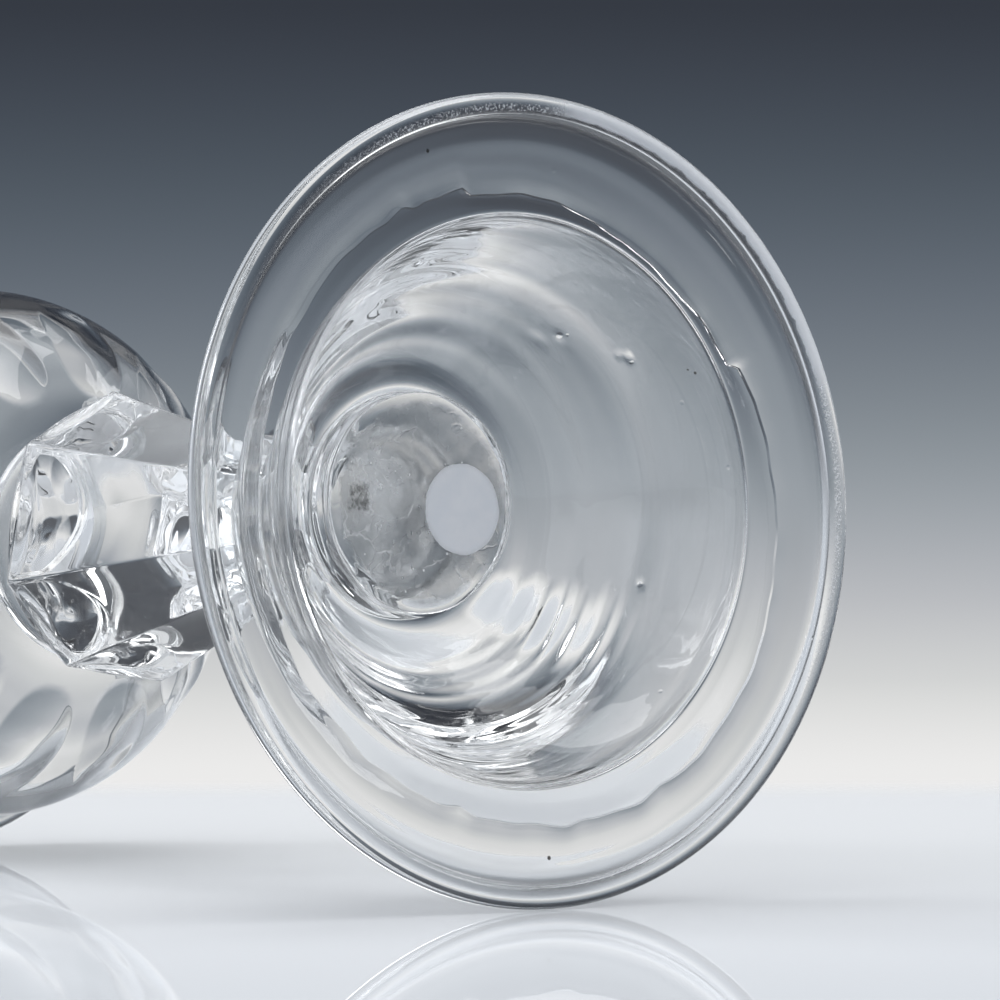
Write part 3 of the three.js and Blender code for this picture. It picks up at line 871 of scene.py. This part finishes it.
def build_bowl(glass, joint):
    n = 480
    th = np.arange(n) / n * TAU
    outer = line(
        [
            (12.6, BOWL_LOW), (14.5, 113.15), (17.2, 113.4), (21.4, 114.5), (26.2, 117.0), (30.8, 120.9), (34.8, 125.8), (37.9, 131.4),
            (40.0, 137.6), (40.9, 144.0), (41.1, 150.2), (41.9, 156.0), (43.5, 160.8), (45.2, 163.6), (45.55, 164.3),
            (45.2, 164.85), (44.3, 165.0), (43.4, 164.7), (42.6, 163.6), (41.0, 160.6), (39.2, 156.0), (38.2, 150.4), (37.6, 144.0),
            (36.3, 137.8), (33.8, 132.0), (29.8, 126.8), (24.2, 122.7), (16.8, 119.9), (8.8, 118.7), (2.0, 118.4),
        ],
        0.75,
    )
    s = along(outer)[:, None]
    nrm = outward(outer)
    rim = int(np.argmax(outer[:, 1]))
    out_side = (np.arange(len(outer)) < rim)[:, None]
    # petals: hollows with crisp rounded ends, each from the disc up to the bowl's widest part
    pitch = TAU / 12
    off = (th - math.radians(117.0) + pitch / 2) % pitch - pitch / 2
    at_r = np.interp(s[:, 0], s[:rim, 0], outer[:rim, 0])[:, None]
    arc = off[None, :] * at_r
    s0 = s[np.argmin(np.abs(outer[:rim, 0] - 22.5)), 0]
    s1 = s[np.argmin(np.abs(outer[:rim, 1] - 134.0)), 0]
    mid, long = (s0 + s1) / 2, (s1 - s0) / 2
    u = (s - mid) / long
    wide = 5.7 * np.clip(1 - np.abs(u) ** 2.4, 0, 1) ** 0.5 * (1 - 0.16 * u) + 1e-3
    q = np.clip(1 - (arc / wide) ** 2, 0, 1) * (np.abs(u) < 1)
    deep = 0.85 * (1 - step(0.2, 1.0, u) * 0.75)
    hollow = deep * q * np.clip(1 - np.abs(u) ** 3, 0, 1)
    d = -hollow * out_side
    fade = np.minimum(step(0, 2, s), step(0, 4, s[-1] - s))
    d = d + waves(s, th, 61, (4.1, 7.5, 14.0, 26.0), (0.006, 0.015, 0.035, 0.08), 1) * fade
    r = outer[:, :1] + nrm[:, :1] * d
    z = outer[:, 1:] + nrm[:, 1:] * d
    r[0], z[0] = 12.6, BOWL_LOW
    lo = np.array([0.35, 0.7])[:, None] * r[0]
    rings = np.vstack([ringed(lo, np.full(lo.shape, BOWL_LOW), th), ringed(r, z, th)])
    kinds = np.zeros(len(rings), int)
    kinds[:2] = 1
    o = skin("bowl_glass", rings, kinds, (0, 0, BOWL_LOW, 1), (0, 0, float(z[-1].mean()), 0))
    o.data.materials.append(glass)
    o.data.materials.append(joint)
    return o


joint = joint_material()
SPECKS = [(22.25, -43.6, 1.64, 0.36), (-33.15, 34.9, 1.87, 0.38), (35.9, 10.6, 6.2, 0.28), (35.8, 9.8, 7.0, 0.2)]
# small blisters in the dome: position, radius and height of each
BLISTERS = [
    (33.5, 4.3, 13.2, 0.55, 9.0), (33.2, 5.1, 13.0, 0.42, 7.0), (32.8, 3.3, 14.0, 0.3, 5.0), (29.8, -4.0, 17.7, 0.6, -8.0),
    (30.4, -3.4, 17.0, 0.35, 7.0), (13.0, 28.6, 15.8, 0.5, 8.0),
]
foot = build_foot(glass_material("lead_glass_foot", 0, 0.5, SPECKS, BLISTERS), joint)
scar = build_scar(broken_material(), joint)
label = build_label(paper_material())
clear = glass_material("lead_glass", 3)
collar = lathe(
    "stem_collar_glass",
    [(TOP_R, TOP_Z), (10.9, 37.75), (11.8, 38.2), (12.7, 39.0), (12.95, 40.0), (12.7, 41.0), (11.6, 41.8), (10.0, 42.15),
     (9.2, COLLAR_TOP)],
    0.3, 480, clear, joint, 31, (0.004, 0.008, 0.02),
)
stem = build_stem(glass_material("lead_glass_stem", 5, grey=0.85), joint)
merese = lathe(
    "bowl_collar_glass",
    [(12.5, MERESE_LOW), (13.2, 109.95), (15.0, 110.15), (16.8, 110.45), (17.7, 110.95), (17.9, 111.45), (17.7, 111.95), (16.8, 112.45),
     (15.0, 112.75), (13.2, 112.9), (12.6, BOWL_LOW)],
    0.3, 480, clear, joint, 37, (0.004, 0.01, 0.03),
)
bowl = build_bowl(clear, joint)

for piece, node, finish in (
    (foot, "foot", "lead_glass"), (scar, "pontil_scar", "broken_glass"), (label, "label", "label_paper"),
    (collar, "stem_collar", "lead_glass"), (stem, "stem", "lead_glass"), (merese, "bowl_collar", "lead_glass"),
    (bowl, "bowl", "lead_glass"),
):
    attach(piece, "root")
    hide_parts(node)

# ------------------------------------------------------------------------------------
# Camera
# ------------------------------------------------------------------------------------
scene = bpy.context.scene
cam_data = bpy.data.cameras.new("camera")
cam_data.sensor_width = 36.0
cam_data.lens = 36.0 * 5.66
cam_data.clip_start, cam_data.clip_end = 0.02, 50.0
cam = bpy.data.objects.new("camera", cam_data)
cam.matrix_world = Matrix.Translation(at((0, 0, 0))) @ Matrix((RIGHT, UP, BACK)).transposed().to_4x4()
scene.collection.objects.link(cam)
scene.camera = cam

# ------------------------------------------------------------------------------------
# Table: the pale floor of the photograph. The glass lies on it, so in the row frame it
# is upright. It shows from above only, so that it doesn't hide the glass from below.
# ------------------------------------------------------------------------------------


def dot_of(g, vector, v):
    n = g.add("ShaderNodeVectorMath", operation="DOT_PRODUCT")
    g.join(vector, n.inputs[0])
    n.inputs[1].default_value = v
    return n.outputs["Value"]


def build_table():
    x0, x1, z0, z1 = -900.0, 900.0, -1125.0, 700.0
    corners = [(x0, TABLE_Y, z1), (x1, TABLE_Y, z1), (x1, TABLE_Y, z0), (x0, TABLE_Y, z0)]
    o = mesh_of("table", [tuple(at(c) * 1000) for c in corners], np.array([[0, 1, 2, 3]]), smooth=False)
    m = bpy.data.materials.new("table_top")
    g = Nodes(m)
    place = g.add("ShaderNodeTexCoord").outputs["Object"]
    diffuse = g.add("ShaderNodeBsdfDiffuse")
    diffuse.inputs["Color"].default_value = (0.92, 0.94, 0.97, 1)
    gloss = g.add("ShaderNodeBsdfAnisotropic")
    gloss.inputs["Color"].default_value = (0.95, 0.97, 1.0, 1)
    g.join(g.span(g.noise(place, 9.0, 2.0), 0.3, 0.7, 0.002, 0.006), gloss.inputs["Roughness"])
    mix = g.add("ShaderNodeMixShader")
    mix.inputs[0].default_value = 0.36
    g.join(diffuse.outputs[0], mix.inputs[1])
    g.join(gloss.outputs[0], mix.inputs[2])
    clear_ = g.add("ShaderNodeBsdfTransparent")
    side = g.add("ShaderNodeNewGeometry")
    # the far edge melts into the paper behind it
    behind = g.math("SUBTRACT", dot_of(g, place, BACK), BACK.dot(at((0, 0, 0))))
    gone = g.span(behind, -1.035, -1.115)
    one = g.add("ShaderNodeMixShader")
    g.join(g.math("MAXIMUM", side.outputs["Backfacing"], gone), one.inputs[0])
    g.join(mix.outputs[0], one.inputs[1])
    g.join(clear_.outputs[0], one.inputs[2])
    out = g.add("ShaderNodeOutputMaterial")
    g.join(one.outputs[0], out.inputs["Surface"])
    o.data.materials.append(m)
    return o


table = build_table()

# ------------------------------------------------------------------------------------
# Backdrop and light
# ------------------------------------------------------------------------------------


def ramp_of(g, value, lo, hi, stops):
    ramp = g.add("ShaderNodeValToRGB")
    ramp.color_ramp.interpolation = "B_SPLINE"
    e = ramp.color_ramp.elements
    while len(e) > 1:
        e.remove(e[-1])
    for i, (x, c) in enumerate(stops):
        t = (x - lo) / (hi - lo)
        q = e[0] if i == 0 else e.new(t)
        q.position = t
        q.color = (*c, 1)
    g.join(g.span(value, lo, hi, 0.0, 1.0, smooth=False), ramp.inputs[0])
    return ramp.outputs[0]


BACKDROP_Z = -1165.0


def build_backdrop():
    """A glowing sheet hung behind the table, its glow painted with the light's falloff: pale at the foot, slate grey
    higher up.
    """
    x, y0, y1, z = 950.0, -130.0, 620.0, BACKDROP_Z
    corners = [(-x, y0, z), (x, y0, z), (x, y1, z), (-x, y1, z)]
    o = mesh_of("backdrop", [tuple(at(c) * 1000) for c in corners], np.array([[0, 1, 2, 3]]), smooth=False)
    m = bpy.data.materials.new("backdrop_painted_glow")
    g = Nodes(m)
    place = g.add("ShaderNodeTexCoord").outputs["Object"]
    height = g.math("SUBTRACT", dot_of(g, place, UP), UP.dot(at((0, TABLE_Y, 0))))
    stops = [
        (-0.02, (0.86, 0.855, 0.85)), (0.0, (0.842, 0.838, 0.832)), (0.009, (0.76, 0.76, 0.755)), (0.018, (0.655, 0.665, 0.66)),
        (0.0345, (0.492, 0.502, 0.53)), (0.055, (0.318, 0.35, 0.38)), (0.0755, (0.208, 0.237, 0.266)), (0.096, (0.135, 0.159, 0.192)),
        (0.1165, (0.084, 0.104, 0.128)), (0.136, (0.056, 0.068, 0.088)), (0.156, (0.036, 0.042, 0.055)),
        (0.24, (0.024, 0.028, 0.037)), (0.33, (0.022, 0.025, 0.033)),
    ]
    # painted light: the sheet glows, and its colour fades with height as light falling off it would
    glow = g.add("ShaderNodeEmission")
    g.join(ramp_of(g, height, -0.03, 0.34, stops), glow.inputs["Color"])
    clear_ = g.add("ShaderNodeBsdfTransparent")
    side = g.add("ShaderNodeNewGeometry")
    one = g.add("ShaderNodeMixShader")
    g.join(side.outputs["Backfacing"], one.inputs[0])
    g.join(glow.outputs[0], one.inputs[1])
    g.join(clear_.outputs[0], one.inputs[2])
    out = g.add("ShaderNodeOutputMaterial")
    g.join(one.outputs[0], out.inputs["Surface"])
    o.data.materials.append(m)
    return o


backdrop = build_backdrop()


def build_world():
    w = bpy.data.worlds.new("studio")
    scene.world = w
    g = Nodes(w)
    coord = g.add("ShaderNodeTexCoord").outputs["Generated"]
    up, back, right = dot_of(g, coord, UP), dot_of(g, coord, BACK), dot_of(g, coord, RIGHT)

    def blend(fac, a, b):
        n = g.add("ShaderNodeMix", data_type="RGBA")
        g.join(fac, n.inputs["Factor"])
        for key, v in (("A", a), ("B", b)):
            if isinstance(v, tuple):
                n.inputs[key].default_value = (*v, 1)
            else:
                g.join(v, n.inputs[key])
        return n.outputs["Result"]

    # behind: dark above the paper; sides: pale; in front: a dimmer room
    sky = blend(g.span(up, -0.05, 0.12), (0.62, 0.62, 0.62), (0.03, 0.034, 0.043))
    sky = blend(g.span(back, -0.35, 0.15), sky, (0.46, 0.47, 0.49))
    wall = blend(g.span(up, 0.05, 0.14), (0.62, 0.66, 0.72), (0.10, 0.11, 0.125))
    sky = blend(g.span(right, 0.5, 0.8), sky, wall)
    narrow = g.span(right, -0.6, -0.92)
    wide = g.math("MULTIPLY", g.span(right, -0.3, -0.55), g.math("MULTIPLY", g.span(back, -0.1, 0.15), g.span(up, 0.0, 0.2)))
    sky = blend(g.math("MAXIMUM", narrow, wide), sky, (1.38, 1.43, 1.5))
    # broad soft top light
    sky = blend(g.span(up, 0.5, 0.72), sky, (0.94, 0.96, 0.98))
    bg = g.add("ShaderNodeBackground")
    g.join(sky, bg.inputs["Color"])
    out = g.add("ShaderNodeOutputWorld")
    g.join(bg.outputs[0], out.inputs["Surface"])
    w.cycles.sampling_method = "MANUAL"
    w.cycles.sample_map_resolution = 1024
    return w


build_world()


def softbox(name, place, look_at, w, h, power, colour=(1, 1, 1)):
    d = bpy.data.lights.new(name, "AREA")
    d.shape, d.size, d.size_y = "RECTANGLE", w / 1000, h / 1000
    d.energy, d.color = power, colour
    o = bpy.data.objects.new(name, d)
    p, q = at(place), at(look_at)
    z = (p - q).normalized()
    y = (UP - UP.dot(z) * z).normalized()
    x = y.cross(z)
    o.matrix_world = Matrix.Translation(p) @ Matrix((x, y, z)).transposed().to_4x4()
    o.visible_camera = False
    scene.collection.objects.link(o)
    return o


CENTRE = (-45, 0, -815)
softbox("key_left", (-900, 420, -1000), CENTRE, 260, 420, 1.6)
softbox("key_right", (880, 420, -980), CENTRE, 260, 420, 1.2)
softbox("top", (0, 900, -1020), (0, -55, -960), 700, 420, 2.1)

scene.view_settings.view_transform = "Standard"
scene.view_settings.look = "None"
scene.view_settings.exposure = 0.0
scene.cycles.max_bounces = 24
scene.cycles.transmission_bounces = 24
scene.cycles.glossy_bounces = 12
scene.cycles.transparent_max_bounces = 64
scene.cycles.sample_clamp_indirect = 8.0
scene.cycles.use_denoising = True
